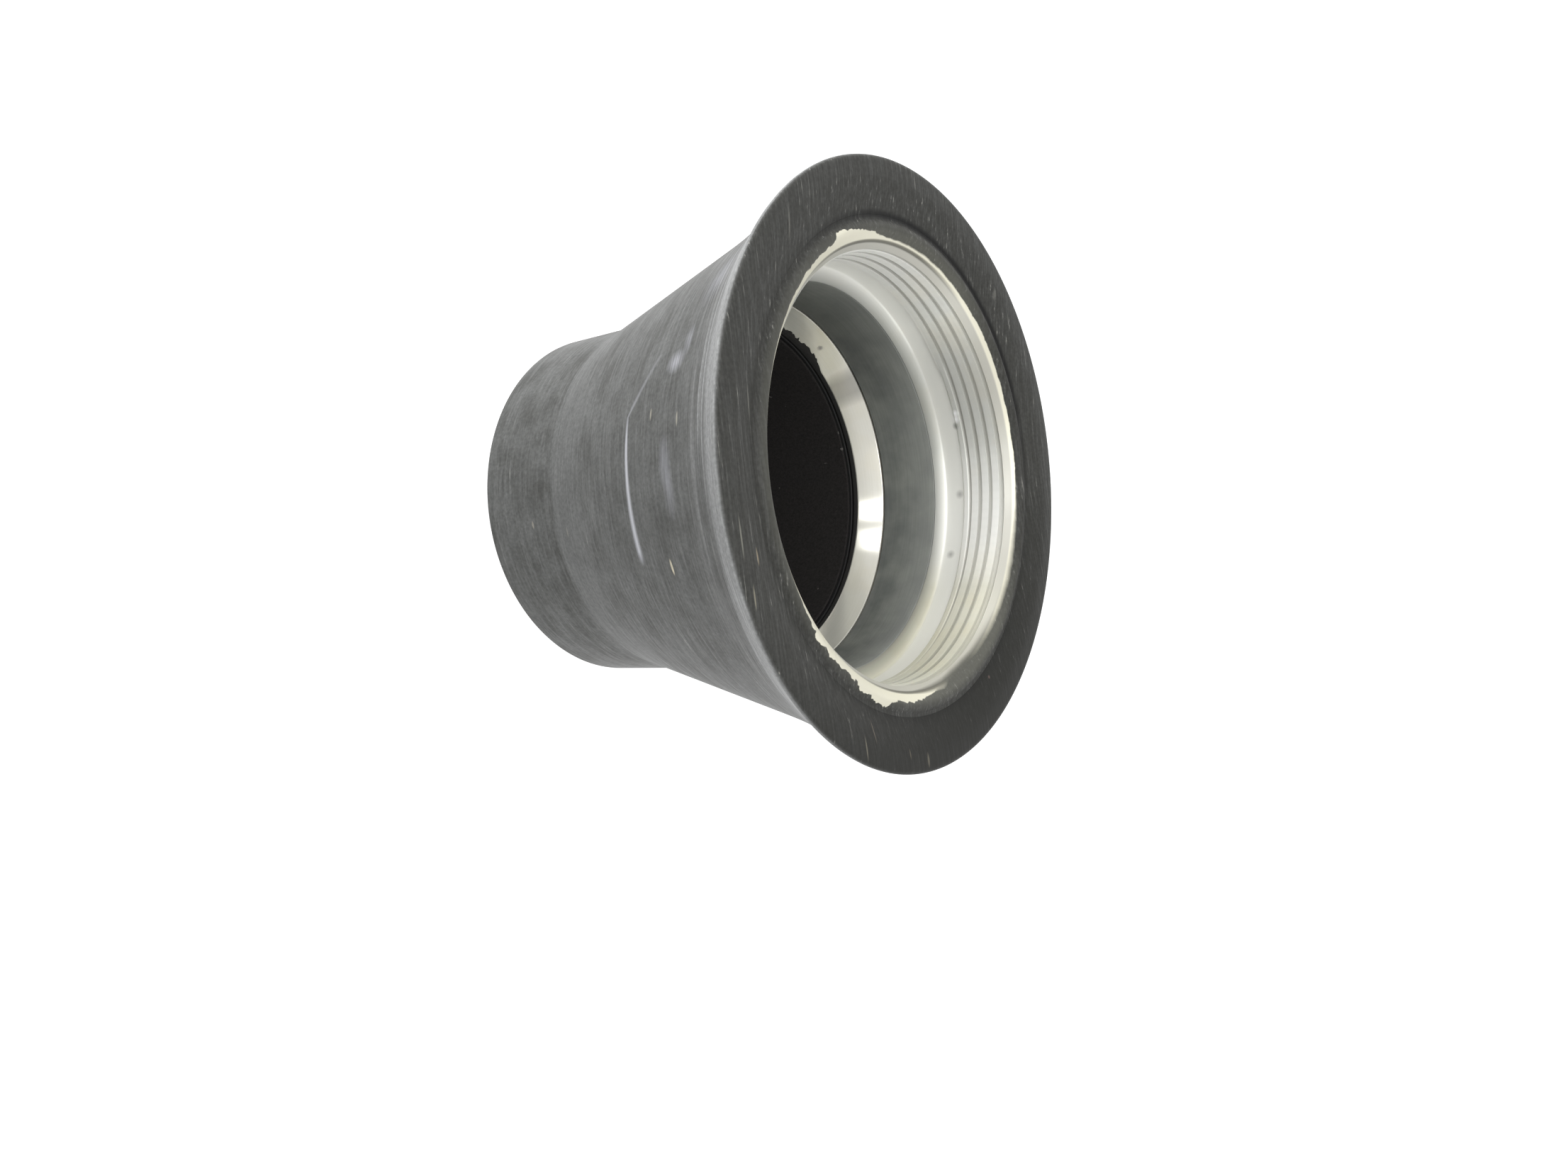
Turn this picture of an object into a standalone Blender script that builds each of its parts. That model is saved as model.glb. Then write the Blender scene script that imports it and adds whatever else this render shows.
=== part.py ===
"""A studio snoot: a flared horn with a screwed-in lamp collar that clamps a stack of rings over the throat.

The horn stands on its nozzle, on the Z axis, with its mouth up. Units are metres. Every radius is built
outwards or inwards from the lamp's thread, and every height upwards from the nozzle's end.
"""
import math

import bpy
import bmesh

# Fits shared by the pieces
FIT = 0.0003
THREAD_PLAY = 0.00035
FACETS = 60
FLARE_STEPS = 7
EDGE_STEPS = 3
RING_SIDES = 8
MERGE = 0.000001

# Lamp thread in the collar
LAMP_THREAD_RADIUS = 0.0320
LAMP_THREAD_DEPTH = 0.0011
LAMP_THREAD_FLAT = 0.0002
LAMP_THREAD_PITCH = 0.0020
LAMP_THREAD_LENGTH = 0.0085
LAMP_THREAD_SETBACK = 0.0013

# Rest of the collar
COLLAR_WALL = 0.0017
COLLAR_FOOT = 0.0008
RELIEF_LENGTH = 0.0022
RELIEF_BEVEL = 0.0018
FLANGE_OVERHANG = 0.0014
FLANGE_HEIGHT = 0.0025
LIP_CROWN = 0.0009
LIP_LEDGE = 0.0007
LIP_CHAMFER = 0.0014

# Screw fit between the collar and the horn
SCREW_DEPTH = 0.0013
SCREW_PITCH = 0.0020
SCREW_LEAD_IN = 0.0020
SCREW_TOP_GAP = 0.0004
O_RING_SECTION = 0.0015
O_RING_STRETCH = 0.0004

# Throat stack under the collar
SLEEVE_STEP = 0.00085
SLEEVE_WALL = 0.00185
SLEEVE_LENGTH = 0.0102
RING_HEIGHT = 0.0048
BEVEL_HEIGHT = 0.00415
BEVEL_WIDTH = 0.0021
GASKET_THICKNESS = 0.0007
LINER_WALL = 0.0007
FLOCK_THICKNESS = 0.0004
FLOCK_SETBACK = 0.0003

# Horn round the stack
SHOULDER_HEIGHT = 0.0307
SHOULDER_WIDTH = 0.0037
END_LIP = 0.0020
NOZZLE_WALL = 0.0009
NOZZLE_LENGTH = 0.0155
NOZZLE_EDGE = 0.0003
WALL_OVER_SCREW = 0.0023
FLARE_LENGTH = 0.0175
FLARE_POWER = 3.0
RIM_WIDTH = 0.0083
RIM_EDGE = 0.0005
RIM_PROUD = 0.0006
FACE_FLAT_WIDTH = 0.0030
DISH_DEPTH = 0.0012

# Radii that follow from the sizes above
lamp_crest = LAMP_THREAD_RADIUS - LAMP_THREAD_DEPTH
lip_inner = LAMP_THREAD_RADIUS + LIP_CHAMFER
screw_root = LAMP_THREAD_RADIUS + COLLAR_WALL
screw_crest = screw_root + SCREW_DEPTH
collar_neck = screw_root - FIT
shell_crest = screw_root + THREAD_PLAY
shell_root = screw_crest + THREAD_PLAY
shell_relief = shell_root + FIT
flange_radius = screw_crest + FLANGE_OVERHANG
flange_bore = flange_radius + FIT
rim_radius = flange_bore + RIM_WIDTH
sleeve_inner = lamp_crest - SLEEVE_STEP
sleeve_outer = sleeve_inner + SLEEVE_WALL
stack_bore = sleeve_outer + FIT
bevel_inner = sleeve_inner - BEVEL_WIDTH
bore_radius = stack_bore - SHOULDER_WIDTH
nozzle_radius = bore_radius + NOZZLE_WALL
liner_outer = bore_radius - FIT
liner_inner = liner_outer - LINER_WALL
flock_outer = liner_inner - FIT
flock_inner = flock_outer - FLOCK_THICKNESS

# Heights that follow from the sizes above
gasket_bottom = SHOULDER_HEIGHT + FIT
gasket_top = gasket_bottom + GASKET_THICKNESS
ring_bottom = gasket_top + FIT
ring_top = ring_bottom + RING_HEIGHT
liner_bottom = END_LIP + FIT
liner_top = ring_bottom - FIT
sleeve_bottom = ring_top + FIT
sleeve_top = sleeve_bottom + SLEEVE_LENGTH
bore_floor = sleeve_top - FIT
collar_bottom = sleeve_top + FIT
relief_bottom = collar_bottom + COLLAR_FOOT + RELIEF_BEVEL
lamp_thread_bottom = relief_bottom + RELIEF_LENGTH
lamp_thread_top = lamp_thread_bottom + LAMP_THREAD_LENGTH
collar_top = lamp_thread_top + LAMP_THREAD_SETBACK
flange_bottom = collar_top - FLANGE_HEIGHT
flange_seat = flange_bottom - O_RING_SECTION - 2 * FIT
shell_thread_bottom = bore_floor + SCREW_LEAD_IN
screw_bottom = collar_bottom + SCREW_LEAD_IN
screw_top = flange_seat - SCREW_TOP_GAP
mouth_height = collar_top + RIM_PROUD
rim_height = mouth_height - RIM_EDGE
flare_start = rim_height - FLARE_LENGTH


def sharp_form(start_radius, middle_radius):
    """Sharp-sided thread form: the radius at each share of the pitch."""
    return [(0.0, start_radius), (0.5, middle_radius)]


def flat_form(start_radius, middle_radius, flat, pitch):
    """Thread form with flats at its root and crest: the radius at each share of the pitch."""
    half = flat / pitch / 2
    return [
        (half, start_radius),
        (0.5 - half, middle_radius),
        (0.5 + half, middle_radius),
        (1.0 - half, start_radius),
    ]


def cone_radius(height):
    """Radius of the straight cone, which leaves a full wall over the collar's screw thread."""
    slope = (shell_relief + WALL_OVER_SCREW - nozzle_radius) / (bore_floor - NOZZLE_LENGTH)
    return nozzle_radius + slope * (height - NOZZLE_LENGTH)


def flare_radius(height):
    """Radius of the flare, which leaves the cone smoothly and reaches the rim."""
    rise = rim_radius - cone_radius(rim_height)
    share = (height - flare_start) / FLARE_LENGTH
    return cone_radius(height) + rise * share ** FLARE_POWER


def arc(radius, height, size, first, last, steps):
    """Points on an arc of the section, between two angles in degrees."""
    points = []
    for step in range(steps + 1):
        angle = math.radians(first + (last - first) * step / steps)
        points.append((radius + size * math.cos(angle), height + size * math.sin(angle)))
    return points


def form_radius(form, share):
    """Radius of a thread form at a share of the pitch."""
    share = share % 1.0
    points = [(form[-1][0] - 1.0, form[-1][1])] + form + [(form[0][0] + 1.0, form[0][1])]
    for (low, low_radius), (high, high_radius) in zip(points, points[1:]):
        if low <= share <= high:
            return low_radius + (high_radius - low_radius) * (share - low) / (high - low)


def thread_points(form, pitch, start, low, high, turn):
    """Section of a right-hand thread after part of a turn, cut off square at its two ends."""
    first = math.floor((low - start) / pitch) - 2
    last = math.ceil((high - start) / pitch) + 1
    points = []
    for lap in range(first, last + 1):
        for share, _ in form:
            height = start + pitch * (lap + turn + share)
            height = min(max(height, low), high)
            points.append((form_radius(form, (height - start) / pitch - turn), height))
    return points


def shell_section(turn):
    """Section of the horn: up its outside, over the mouth and down its stepped bore."""
    points = [(nozzle_radius - NOZZLE_EDGE, 0.0), (nozzle_radius, NOZZLE_EDGE)]
    points.append((nozzle_radius, NOZZLE_LENGTH))
    for step in range(FLARE_STEPS + 1):
        height = flare_start + FLARE_LENGTH * step / FLARE_STEPS
        points.append((flare_radius(height), height))
    points += arc(rim_radius - RIM_EDGE, rim_height, RIM_EDGE, 0.0, 90.0, EDGE_STEPS)[1:]
    points.append((rim_radius - RIM_EDGE - FACE_FLAT_WIDTH, mouth_height))
    points.append((flange_bore, mouth_height - DISH_DEPTH))
    points.append((flange_bore, flange_seat))
    groove = sharp_form(shell_root, shell_crest)
    thread = thread_points(groove, SCREW_PITCH, shell_thread_bottom, shell_thread_bottom, flange_seat, turn)
    points += reversed(thread)
    points.append((shell_relief, shell_thread_bottom))
    points.append((shell_relief, bore_floor))
    points.append((stack_bore, bore_floor))
    points.append((stack_bore, SHOULDER_HEIGHT))
    points.append((bore_radius, SHOULDER_HEIGHT))
    points.append((bore_radius, END_LIP))
    points.append((flock_inner, END_LIP))
    points.append((flock_inner, 0.0))
    return points


def collar_section(turn):
    """Section of the collar: up its screw thread, over the rounded lip and down the lamp's thread."""
    points = [(collar_neck, collar_bottom), (collar_neck, screw_bottom)]
    ridge = sharp_form(screw_crest, screw_root)
    points += thread_points(ridge, SCREW_PITCH, shell_thread_bottom, screw_bottom, screw_top, turn)
    points.append((collar_neck, screw_top))
    points.append((collar_neck, flange_bottom))
    points.append((flange_radius, flange_bottom))
    points += arc(flange_radius - LIP_CROWN, collar_top - LIP_CROWN, LIP_CROWN, 0.0, 90.0, EDGE_STEPS)
    points.append((lip_inner + LIP_CROWN, collar_top))
    points.append((lip_inner, collar_top - LIP_LEDGE))
    groove = flat_form(LAMP_THREAD_RADIUS, lamp_crest, LAMP_THREAD_FLAT, LAMP_THREAD_PITCH)
    thread = thread_points(
        groove, LAMP_THREAD_PITCH, lamp_thread_bottom, lamp_thread_bottom, lamp_thread_top, turn)
    points += reversed(thread)
    points.append((LAMP_THREAD_RADIUS + FIT, lamp_thread_bottom))
    points.append((LAMP_THREAD_RADIUS + FIT, relief_bottom))
    points.append((sleeve_inner + FIT, relief_bottom - RELIEF_BEVEL))
    points.append((sleeve_inner + FIT, collar_bottom))
    return points


def o_ring_section(turn):
    """Round section of the ring under the collar's flange."""
    half = O_RING_SECTION / 2
    radius = collar_neck + O_RING_STRETCH + half
    return arc(radius, flange_bottom - FIT - half, half, 0.0, 360.0, RING_SIDES)[:-1]


def throat_ring_section(turn):
    """Section of the bevelled ring, with a short land under its bevel."""
    return [
        (bevel_inner, ring_bottom),
        (sleeve_outer, ring_bottom),
        (sleeve_outer, ring_top),
        (sleeve_inner, ring_top),
        (bevel_inner, ring_top - BEVEL_HEIGHT),
    ]


def tube_section(inner, outer, bottom, top):
    """Section of a plain tube, the same all round."""
    corners = [(inner, bottom), (outer, bottom), (outer, top), (inner, top)]
    return lambda turn: corners


def finish(name, colour, roughness, metallic):
    """Principled material of one sub-part."""
    material = bpy.data.materials.new(name)
    material.use_nodes = True
    shader = material.node_tree.nodes["Principled BSDF"]
    shader.inputs["Base Color"].default_value = (*colour, 1.0)
    shader.inputs["Roughness"].default_value = roughness
    shader.inputs["Metallic"].default_value = metallic
    return material


def turned_piece(name, section, material):
    """Closed body made by carrying a section round the Z axis; a thread's section changes as it turns."""
    body = bmesh.new()
    columns = []
    for column in range(FACETS + 1):
        angle = 2 * math.pi * (column % FACETS) / FACETS
        points = section(column / FACETS)
        columns.append([
            body.verts.new((radius * math.cos(angle), radius * math.sin(angle), height))
            for radius, height in points
        ])
    for near, far in zip(columns, columns[1:]):
        for index in range(len(near)):
            body.faces.new((near[index - 1], far[index - 1], far[index], near[index]))
    bmesh.ops.remove_doubles(body, verts=body.verts, dist=MERGE)
    bmesh.ops.connect_verts_nonplanar(body, angle_limit=math.radians(0.01), faces=body.faces)
    bmesh.ops.recalc_face_normals(body, faces=body.faces)
    mesh = bpy.data.meshes.new(name)
    body.to_mesh(mesh)
    body.free()
    mesh.materials.append(material)
    piece = bpy.data.objects.new(name, mesh)
    bpy.context.collection.objects.link(piece)
    return piece


for old in list(bpy.data.objects):
    bpy.data.objects.remove(old, do_unlink=True)

turned_piece("bell_shell", shell_section, finish("black_coated_aluminium", (0.045, 0.047, 0.052), 0.45, 0.0))
turned_piece("lamp_collar", collar_section, finish("bare_turned_aluminium", (0.78, 0.77, 0.74), 0.32, 1.0))
turned_piece("collar_o_ring", o_ring_section, finish("black_nitrile_rubber", (0.02, 0.02, 0.02), 0.7, 0.0))
turned_piece(
    "spacer_sleeve",
    tube_section(sleeve_inner, sleeve_outer, sleeve_bottom, sleeve_top),
    finish("dark_grey_anodised_aluminium", (0.09, 0.092, 0.095), 0.55, 0.0),
)
turned_piece(
    "throat_ring",
    throat_ring_section,
    finish("bare_bevelled_aluminium", (0.8, 0.78, 0.75), 0.3, 1.0),
)
turned_piece(
    "seat_gasket",
    tube_section(bore_radius + FIT, sleeve_outer, gasket_bottom, gasket_top),
    finish("black_sheet_rubber", (0.05, 0.04, 0.035), 0.9, 0.0),
)
turned_piece(
    "liner_tube",
    tube_section(liner_inner, liner_outer, liner_bottom, liner_top),
    finish("matt_black_anodised_aluminium", (0.02, 0.02, 0.02), 0.7, 0.0),
)
turned_piece(
    "flock_lining",
    tube_section(flock_inner, flock_outer, liner_bottom, liner_top - FLOCK_SETBACK),
    finish("black_flock", (0.008, 0.008, 0.008), 0.95, 0.0),
)
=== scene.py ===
"""Looks of a studio snoot: a worn black horn, a screwed-in lamp collar and rings stacked over its throat.

Sizes are in millimetres, and heights are measured from the nozzle's end.
MM turns them into the frame's metres.
"""
import math

import bpy
import bmesh
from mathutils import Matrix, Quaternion, Vector


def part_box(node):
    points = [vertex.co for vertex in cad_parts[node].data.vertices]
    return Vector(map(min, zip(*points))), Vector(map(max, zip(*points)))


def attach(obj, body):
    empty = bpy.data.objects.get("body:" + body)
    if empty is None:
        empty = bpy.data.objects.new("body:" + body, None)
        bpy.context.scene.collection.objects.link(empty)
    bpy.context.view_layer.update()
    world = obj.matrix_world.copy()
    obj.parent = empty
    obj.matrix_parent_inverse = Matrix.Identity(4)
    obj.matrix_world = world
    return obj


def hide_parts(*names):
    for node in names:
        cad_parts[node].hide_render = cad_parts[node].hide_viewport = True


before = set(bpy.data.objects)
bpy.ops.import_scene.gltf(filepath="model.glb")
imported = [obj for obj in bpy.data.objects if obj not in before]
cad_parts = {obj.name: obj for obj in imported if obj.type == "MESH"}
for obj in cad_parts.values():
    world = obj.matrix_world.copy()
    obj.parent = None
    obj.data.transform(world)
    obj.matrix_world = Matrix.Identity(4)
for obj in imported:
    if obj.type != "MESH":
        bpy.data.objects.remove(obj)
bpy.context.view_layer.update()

# Horn
# The snoot's body, one piece of aluminium turned to nozzle, cone and flared rim and bored in steps from the
# mouth. It is enamelled black. Handling has rubbed the enamel grey round the cone and scored the flat rim.
MM = 0.001
SIDES = 256
horn_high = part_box("bell_shell")[1]
rim_radius = horn_high[0] / MM
mouth_height = horn_high[2] / MM
nozzle_radius = 29.4
nozzle_length = 15.5
nozzle_bend = 1.5
cone_slope = 0.2714
flare_start = 44.8
flare_end = 61.3
flare_steps = 24
rim_edge = 0.5
rim_round = 0.6
rim_height = mouth_height - rim_edge
face_inner = 41.5
face_round = 1.4
dish_depth = 1.2
flange_bore = 36.7
flange_seat = 57.6
screw_pitch = 2.0
screw_depth = 1.3
screw_root_width = 1.8
screw_crest_width = 0.2
screw_run_out = 0.06
screw_start = 49.0
horn_screw_root = 35.35
horn_screw_turns = 3.3
horn_relief = 35.65
bore_floor = 47.0
stack_bore = 32.2
shoulder_height = 30.7
bore_radius = 28.5
end_lip = 2.0
end_lip_inner = 26.8


def eased(corners):
    """Section in mm with broken corners: each corner is a radius, a height and how far its rounding reaches.

    A rounding takes less than half of a side, so that two roundings never meet.
    """
    steps = 5
    most = 0.48
    points = []
    for index, (radius, height, reach) in enumerate(corners):
        here = Vector((radius, height))
        if reach == 0:
            points.append(here)
            continue
        before = Vector(corners[index - 1][:2]) - here
        after = Vector(corners[(index + 1) % len(corners)][:2]) - here
        start = here + before.normalized() * min(reach, before.length * most)
        end = here + after.normalized() * min(reach, after.length * most)
        for step in range(steps + 1):
            share = step / steps
            points.append(start * (1 - share) ** 2 + here * 2 * share * (1 - share) + end * share ** 2)
    return points


def turned(name, section):
    """Closed piece made by carrying a section round the Z axis, as a lathe does."""
    crease = math.radians(35)
    body = bmesh.new()
    columns = []
    for side in range(SIDES):
        angle = 2 * math.pi * side / SIDES
        column = []
        for radius, height in section:
            column.append(body.verts.new((
                radius * math.cos(angle) * MM, radius * math.sin(angle) * MM, height * MM)))
        columns.append(column)
    for side in range(SIDES):
        near = columns[side - 1]
        far = columns[side]
        for index in range(len(section)):
            body.faces.new((near[index - 1], far[index - 1], far[index], near[index]))
    bmesh.ops.recalc_face_normals(body, faces=body.faces)
    mesh = bpy.data.meshes.new(name)
    body.to_mesh(mesh)
    body.free()
    mesh.shade_smooth()
    mesh.set_sharp_from_angle(angle=crease)
    piece = bpy.data.objects.new(name, mesh)
    bpy.context.collection.objects.link(piece)
    return piece


def cone_radius(height):
    """Radius of the straight cone at a height."""
    return nozzle_radius + cone_slope * (height - nozzle_length)


def flare_radius(height):
    """Radius of the flare, which leaves the cone smoothly and reaches the rim."""
    share = (height - flare_start) / (rim_height - flare_start)
    return cone_radius(height) + (rim_radius - cone_radius(rim_height)) * share ** 3


horn_corners = [
    (end_lip_inner, 0.0, 0.25),
    (nozzle_radius, 0.0, 0.5),
    (nozzle_radius, nozzle_length, nozzle_bend),
]
for step in range(flare_steps + 1):
    height = flare_start + (flare_end - flare_start) * step / flare_steps
    horn_corners.append((flare_radius(height), height, 0))
horn_corners += [
    (rim_radius, rim_height, rim_round),
    (rim_radius - rim_edge, mouth_height, rim_round),
    (face_inner, mouth_height, face_round),
    (flange_bore, mouth_height - dish_depth, 0.02),
    (flange_bore, flange_seat, 0.1),
    (horn_screw_root, flange_seat, 0.1),
    (horn_screw_root, screw_start, 0.1),
    (horn_relief, screw_start, 0.1),
    (horn_relief, bore_floor, 0.15),
    (stack_bore, bore_floor, 0.2),
    (stack_bore, shoulder_height, 0.15),
    (bore_radius, shoulder_height, 0.2),
    (bore_radius, end_lip, 0.15),
    (end_lip_inner, end_lip, 0.2),
]
horn = turned("horn", eased(horn_corners))


def fill(tree, node, sockets):
    """Gives each of a node's sockets a plain value or a link from another node's output."""
    for socket, value in sockets.items():
        if isinstance(value, bpy.types.NodeSocket):
            tree.links.new(value, node.inputs[socket])
        else:
            node.inputs[socket].default_value = value


def add_node(tree, kind, sockets=None, out=0, **settings):
    """Adds a node with its settings and links, and returns one output, or all of them where out is None."""
    if not kind.startswith(("GeometryNode", "NodeGroup")):
        kind = "ShaderNode" + kind
    made = tree.nodes.new(kind)
    for setting, value in settings.items():
        setattr(made, setting, value)
    fill(tree, made, sockets or {})
    return made.outputs if out is None else made.outputs[out]


def new_group(name, tree_kind, makes, takes=()):
    """New node group; what it makes and what it takes are pairs of a socket's name and its kind."""
    group = bpy.data.node_groups.new(name, tree_kind)
    for way, sockets in (("INPUT", takes), ("OUTPUT", makes)):
        for socket, kind in sockets:
            group.interface.new_socket(socket, in_out=way, socket_type="NodeSocket" + kind)
    return group


# Raised thread, for any piece that has one: a trapezoid carried along a right-hand helix and joined to the
# turned piece, with its foot sunk a little into the piece. Its two ends run out to nothing, as on a lathe.
thread_sizes = (
    "Radius", "Height of form", "Width at root", "Width at crest", "Pitch", "Turns", "Start height",
    "Start angle", "Run-out")
thread_tree = new_group(
    "raised thread", "GeometryNodeTree", [("Threaded piece", "Geometry")],
    [("Piece", "Geometry")] + [(size, "Float") for size in thread_sizes] + [("Finish", "Material")])
tree = thread_tree
given = add_node(tree, "NodeGroupInput", out=None)
rise = add_node(tree, "Math", {0: given["Pitch"], 1: given["Turns"]}, operation="MULTIPLY")
helix = add_node(tree, "GeometryNodeCurveSpiral", {
    "Resolution": 128, "Rotations": given["Turns"], "Start Radius": given["Radius"],
    "End Radius": given["Radius"], "Height": rise, "Reverse": True})
upright = add_node(tree, "GeometryNodeSetCurveNormal", {"Curve": helix}, mode="Z_UP")
lift = add_node(tree, "CombineXYZ", {"Z": given["Start height"]})
swing = add_node(tree, "CombineXYZ", {"Z": given["Start angle"]})
placed = add_node(tree, "GeometryNodeTransform", {
    "Geometry": upright, "Translation": lift, "Rotation": swing})
root_half, crest_half, sunk = [
    add_node(tree, "Math", {0: given[size], 1: share}, operation="MULTIPLY")
    for size, share in (("Width at root", 0.5), ("Width at crest", 0.5), ("Height of form", -0.08))]
root_low, crest_low = [
    add_node(tree, "Math", {0: half, 1: -1.0}, operation="MULTIPLY") for half in (root_half, crest_half)]
form_corners = {}
for corner, (outwards, upwards) in enumerate((
        (sunk, root_low), (given["Height of form"], crest_low), (given["Height of form"], crest_half),
        (sunk, root_half))):
    form_corners[f"Point {corner + 1}"] = add_node(tree, "CombineXYZ", {"X": outwards, "Y": upwards})
form = add_node(tree, "GeometryNodeCurvePrimitiveQuadrilateral", form_corners, mode="POINTS")
along = add_node(tree, "GeometryNodeSplineParameter", out="Factor")
from_end = add_node(tree, "Math", {0: 1.0, 1: along}, operation="SUBTRACT")
nearest_end = add_node(tree, "Math", {0: along, 1: from_end}, operation="MINIMUM")
fullness = add_node(tree, "MapRange", {
    "Value": nearest_end, "From Max": given["Run-out"], "To Min": 0.04}, interpolation_type="SMOOTHSTEP")
ridge = add_node(tree, "GeometryNodeCurveToMesh", {
    "Curve": placed, "Profile Curve": form, "Scale": fullness, "Fill Caps": True})
both = add_node(tree, "GeometryNodeJoinGeometry", {"Geometry": ridge})
tree.links.new(given["Piece"], both.node.inputs["Geometry"])
whole = add_node(tree, "GeometryNodeRealizeInstances", {"Geometry": both})
coated = add_node(tree, "GeometryNodeSetMaterial", {"Geometry": whole, "Material": given["Finish"]})
add_node(tree, "NodeGroupOutput", {"Threaded piece": coated}, None)


def cut_thread(piece, finish, sizes):
    """Puts a raised thread on a turned piece and leaves the piece a plain mesh."""
    crease = math.radians(25)
    modifier = piece.modifiers.new("thread", "NODES")
    modifier.node_group = thread_tree
    for socket in thread_tree.interface.items_tree:
        if socket.name in sizes:
            modifier[socket.identifier] = float(sizes[socket.name])
        if socket.name == "Finish":
            modifier[socket.identifier] = finish
    ready = piece.evaluated_get(bpy.context.evaluated_depsgraph_get())
    plain = piece.data
    piece.data = bpy.data.meshes.new_from_object(ready)
    piece.modifiers.remove(modifier)
    bpy.data.meshes.remove(plain)
    piece.data.name = piece.name
    body = bmesh.new()
    body.from_mesh(piece.data)
    bmesh.ops.recalc_face_normals(body, faces=body.faces)
    body.to_mesh(piece.data)
    body.free()
    piece.data.shade_smooth()
    piece.data.set_sharp_from_angle(angle=crease)


def linear(colour):
    """Linear colour of an sRGB hex value."""
    parts = [int(colour[place:place + 2], 16) / 255 for place in (1, 3, 5)]
    return [part / 12.92 if part <= 0.04045 else ((part + 0.055) / 1.055) ** 2.4 for part in parts] + [1.0]


# Place on a turned piece, for every finish: millimetres, degrees round the axis, and a vector whose third
# part grows along the section, so that noise stretched on it runs round the piece like turning lines.
place_tree = new_group("place on a turned piece", "ShaderNodeTree", [
    ("Millimetres", "Vector"), ("Round", "Vector"), ("Lines", "Vector"), ("Degrees", "Float"),
    ("Radius", "Float"), ("Height", "Float")])
tree = place_tree
metres = add_node(tree, "TexCoord", out="Object")
millimetres = add_node(tree, "VectorMath", {0: metres, "Scale": 1 / MM}, operation="SCALE")
parts = add_node(tree, "SeparateXYZ", {0: millimetres}, None)
level = add_node(tree, "VectorMath", {0: millimetres, 1: (1, 1, 0)}, operation="MULTIPLY")
reach = add_node(tree, "VectorMath", {0: level}, "Value", operation="LENGTH")
around = add_node(tree, "VectorMath", {0: level}, operation="NORMALIZE")
around_parts = add_node(tree, "SeparateXYZ", {0: around}, None)
along_section = add_node(tree, "Math", {0: reach, 1: parts["Z"]}, operation="ADD")
lines = add_node(tree, "CombineXYZ", {"X": around_parts["X"], "Y": around_parts["Y"], "Z": along_section})
turn = add_node(tree, "Math", {0: parts["Y"], 1: parts["X"]}, operation="ARCTAN2")
degrees = add_node(tree, "Math", {0: turn}, operation="DEGREES")
add_node(tree, "NodeGroupOutput", {
    "Millimetres": millimetres, "Round": around, "Lines": lines, "Degrees": degrees, "Radius": reach,
    "Height": parts["Z"]}, None)


def compass(side_degrees, radius=1.0, height=0.0):
    """Point at an angle round the axis, at a radius and a height."""
    side_turn = math.radians(side_degrees)
    return Vector((radius * math.cos(side_turn), radius * math.sin(side_turn), height))


def towards(tree, spot, side_degrees, start, full, most=1.0, least=0.0):
    """Share that grows towards one side of a piece, from the least to the most between two cosines."""
    facing_it = add_node(
        tree, "VectorMath", {0: spot["Round"], 1: compass(side_degrees)}, "Value", operation="DOT_PRODUCT")
    return add_node(tree, "MapRange", {
        "Value": facing_it, "From Min": start, "From Max": full, "To Min": least, "To Max": most})


def drawn_out(tree, place, stretch, detail, roughness=0.5):
    """Noise stretched by its own amount along each part of a place, as streaks or turning lines."""
    stretched = add_node(tree, "VectorMath", {0: place, 1: stretch}, operation="MULTIPLY")
    return add_node(tree, "TexNoise", {
        "Vector": stretched, "Scale": 1.0, "Detail": detail, "Roughness": roughness})


def limited(tree, amount, *limits):
    """Amount cut down by each limit in turn, all of them shares of one."""
    for limit in limits:
        amount = add_node(tree, "Math", {0: amount, 1: limit}, operation="MULTIPLY")
    return amount


def layered(tree, colour, layers):
    """Colour with others laid over it in turn; a layer is the share of it that shows and its hex value."""
    for amount, paint in layers:
        colour = add_node(tree, "Mix", {0: amount, 6: colour, 7: linear(paint)}, 2, data_type="RGBA")
    return colour


def new_finish(name):
    """New material for a turned piece, with its tree, its shader and the place on the piece."""
    finish = bpy.data.materials.new(name)
    finish.use_nodes = True
    tree = finish.node_tree
    spot = add_node(tree, "Group", out=None, node_tree=place_tree)
    return finish, tree, tree.nodes["Principled BSDF"], spot


# Worn black enamel, stoved on turned aluminium: satin black, rubbed to a grey bloom in lines round the cone,
# with paler scores that run straight across the flat rim.
enamel_tree = new_group("worn black enamel", "ShaderNodeTree", [
    ("Colour", "Color"), ("Roughness", "Float"), ("Relief", "Float"), ("Streaks", "Float")])
tree = enamel_tree
spot = add_node(tree, "Group", out=None, node_tree=place_tree)
facing = add_node(tree, "NewGeometry", out="Normal")
facing_up = add_node(tree, "SeparateXYZ", {0: facing}, "Z")
on_face = add_node(tree, "MapRange", {"Value": facing_up, "From Min": 0.3, "From Max": 0.6})

# Rubbed lines are about 0.5 mm apart and 8 mm long; scores on the flat rim are 0.4 mm wide and 10 mm long.
rubbed = drawn_out(tree, spot["Lines"], (4.5, 4.5, 2.0), 4.0, 0.6)
scored = drawn_out(tree, spot["Millimetres"], (0.1, 2.5, 2.5), 4.0, 0.65)
streaks = add_node(tree, "Mix", {0: on_face, 2: rubbed, 3: scored})
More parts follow.
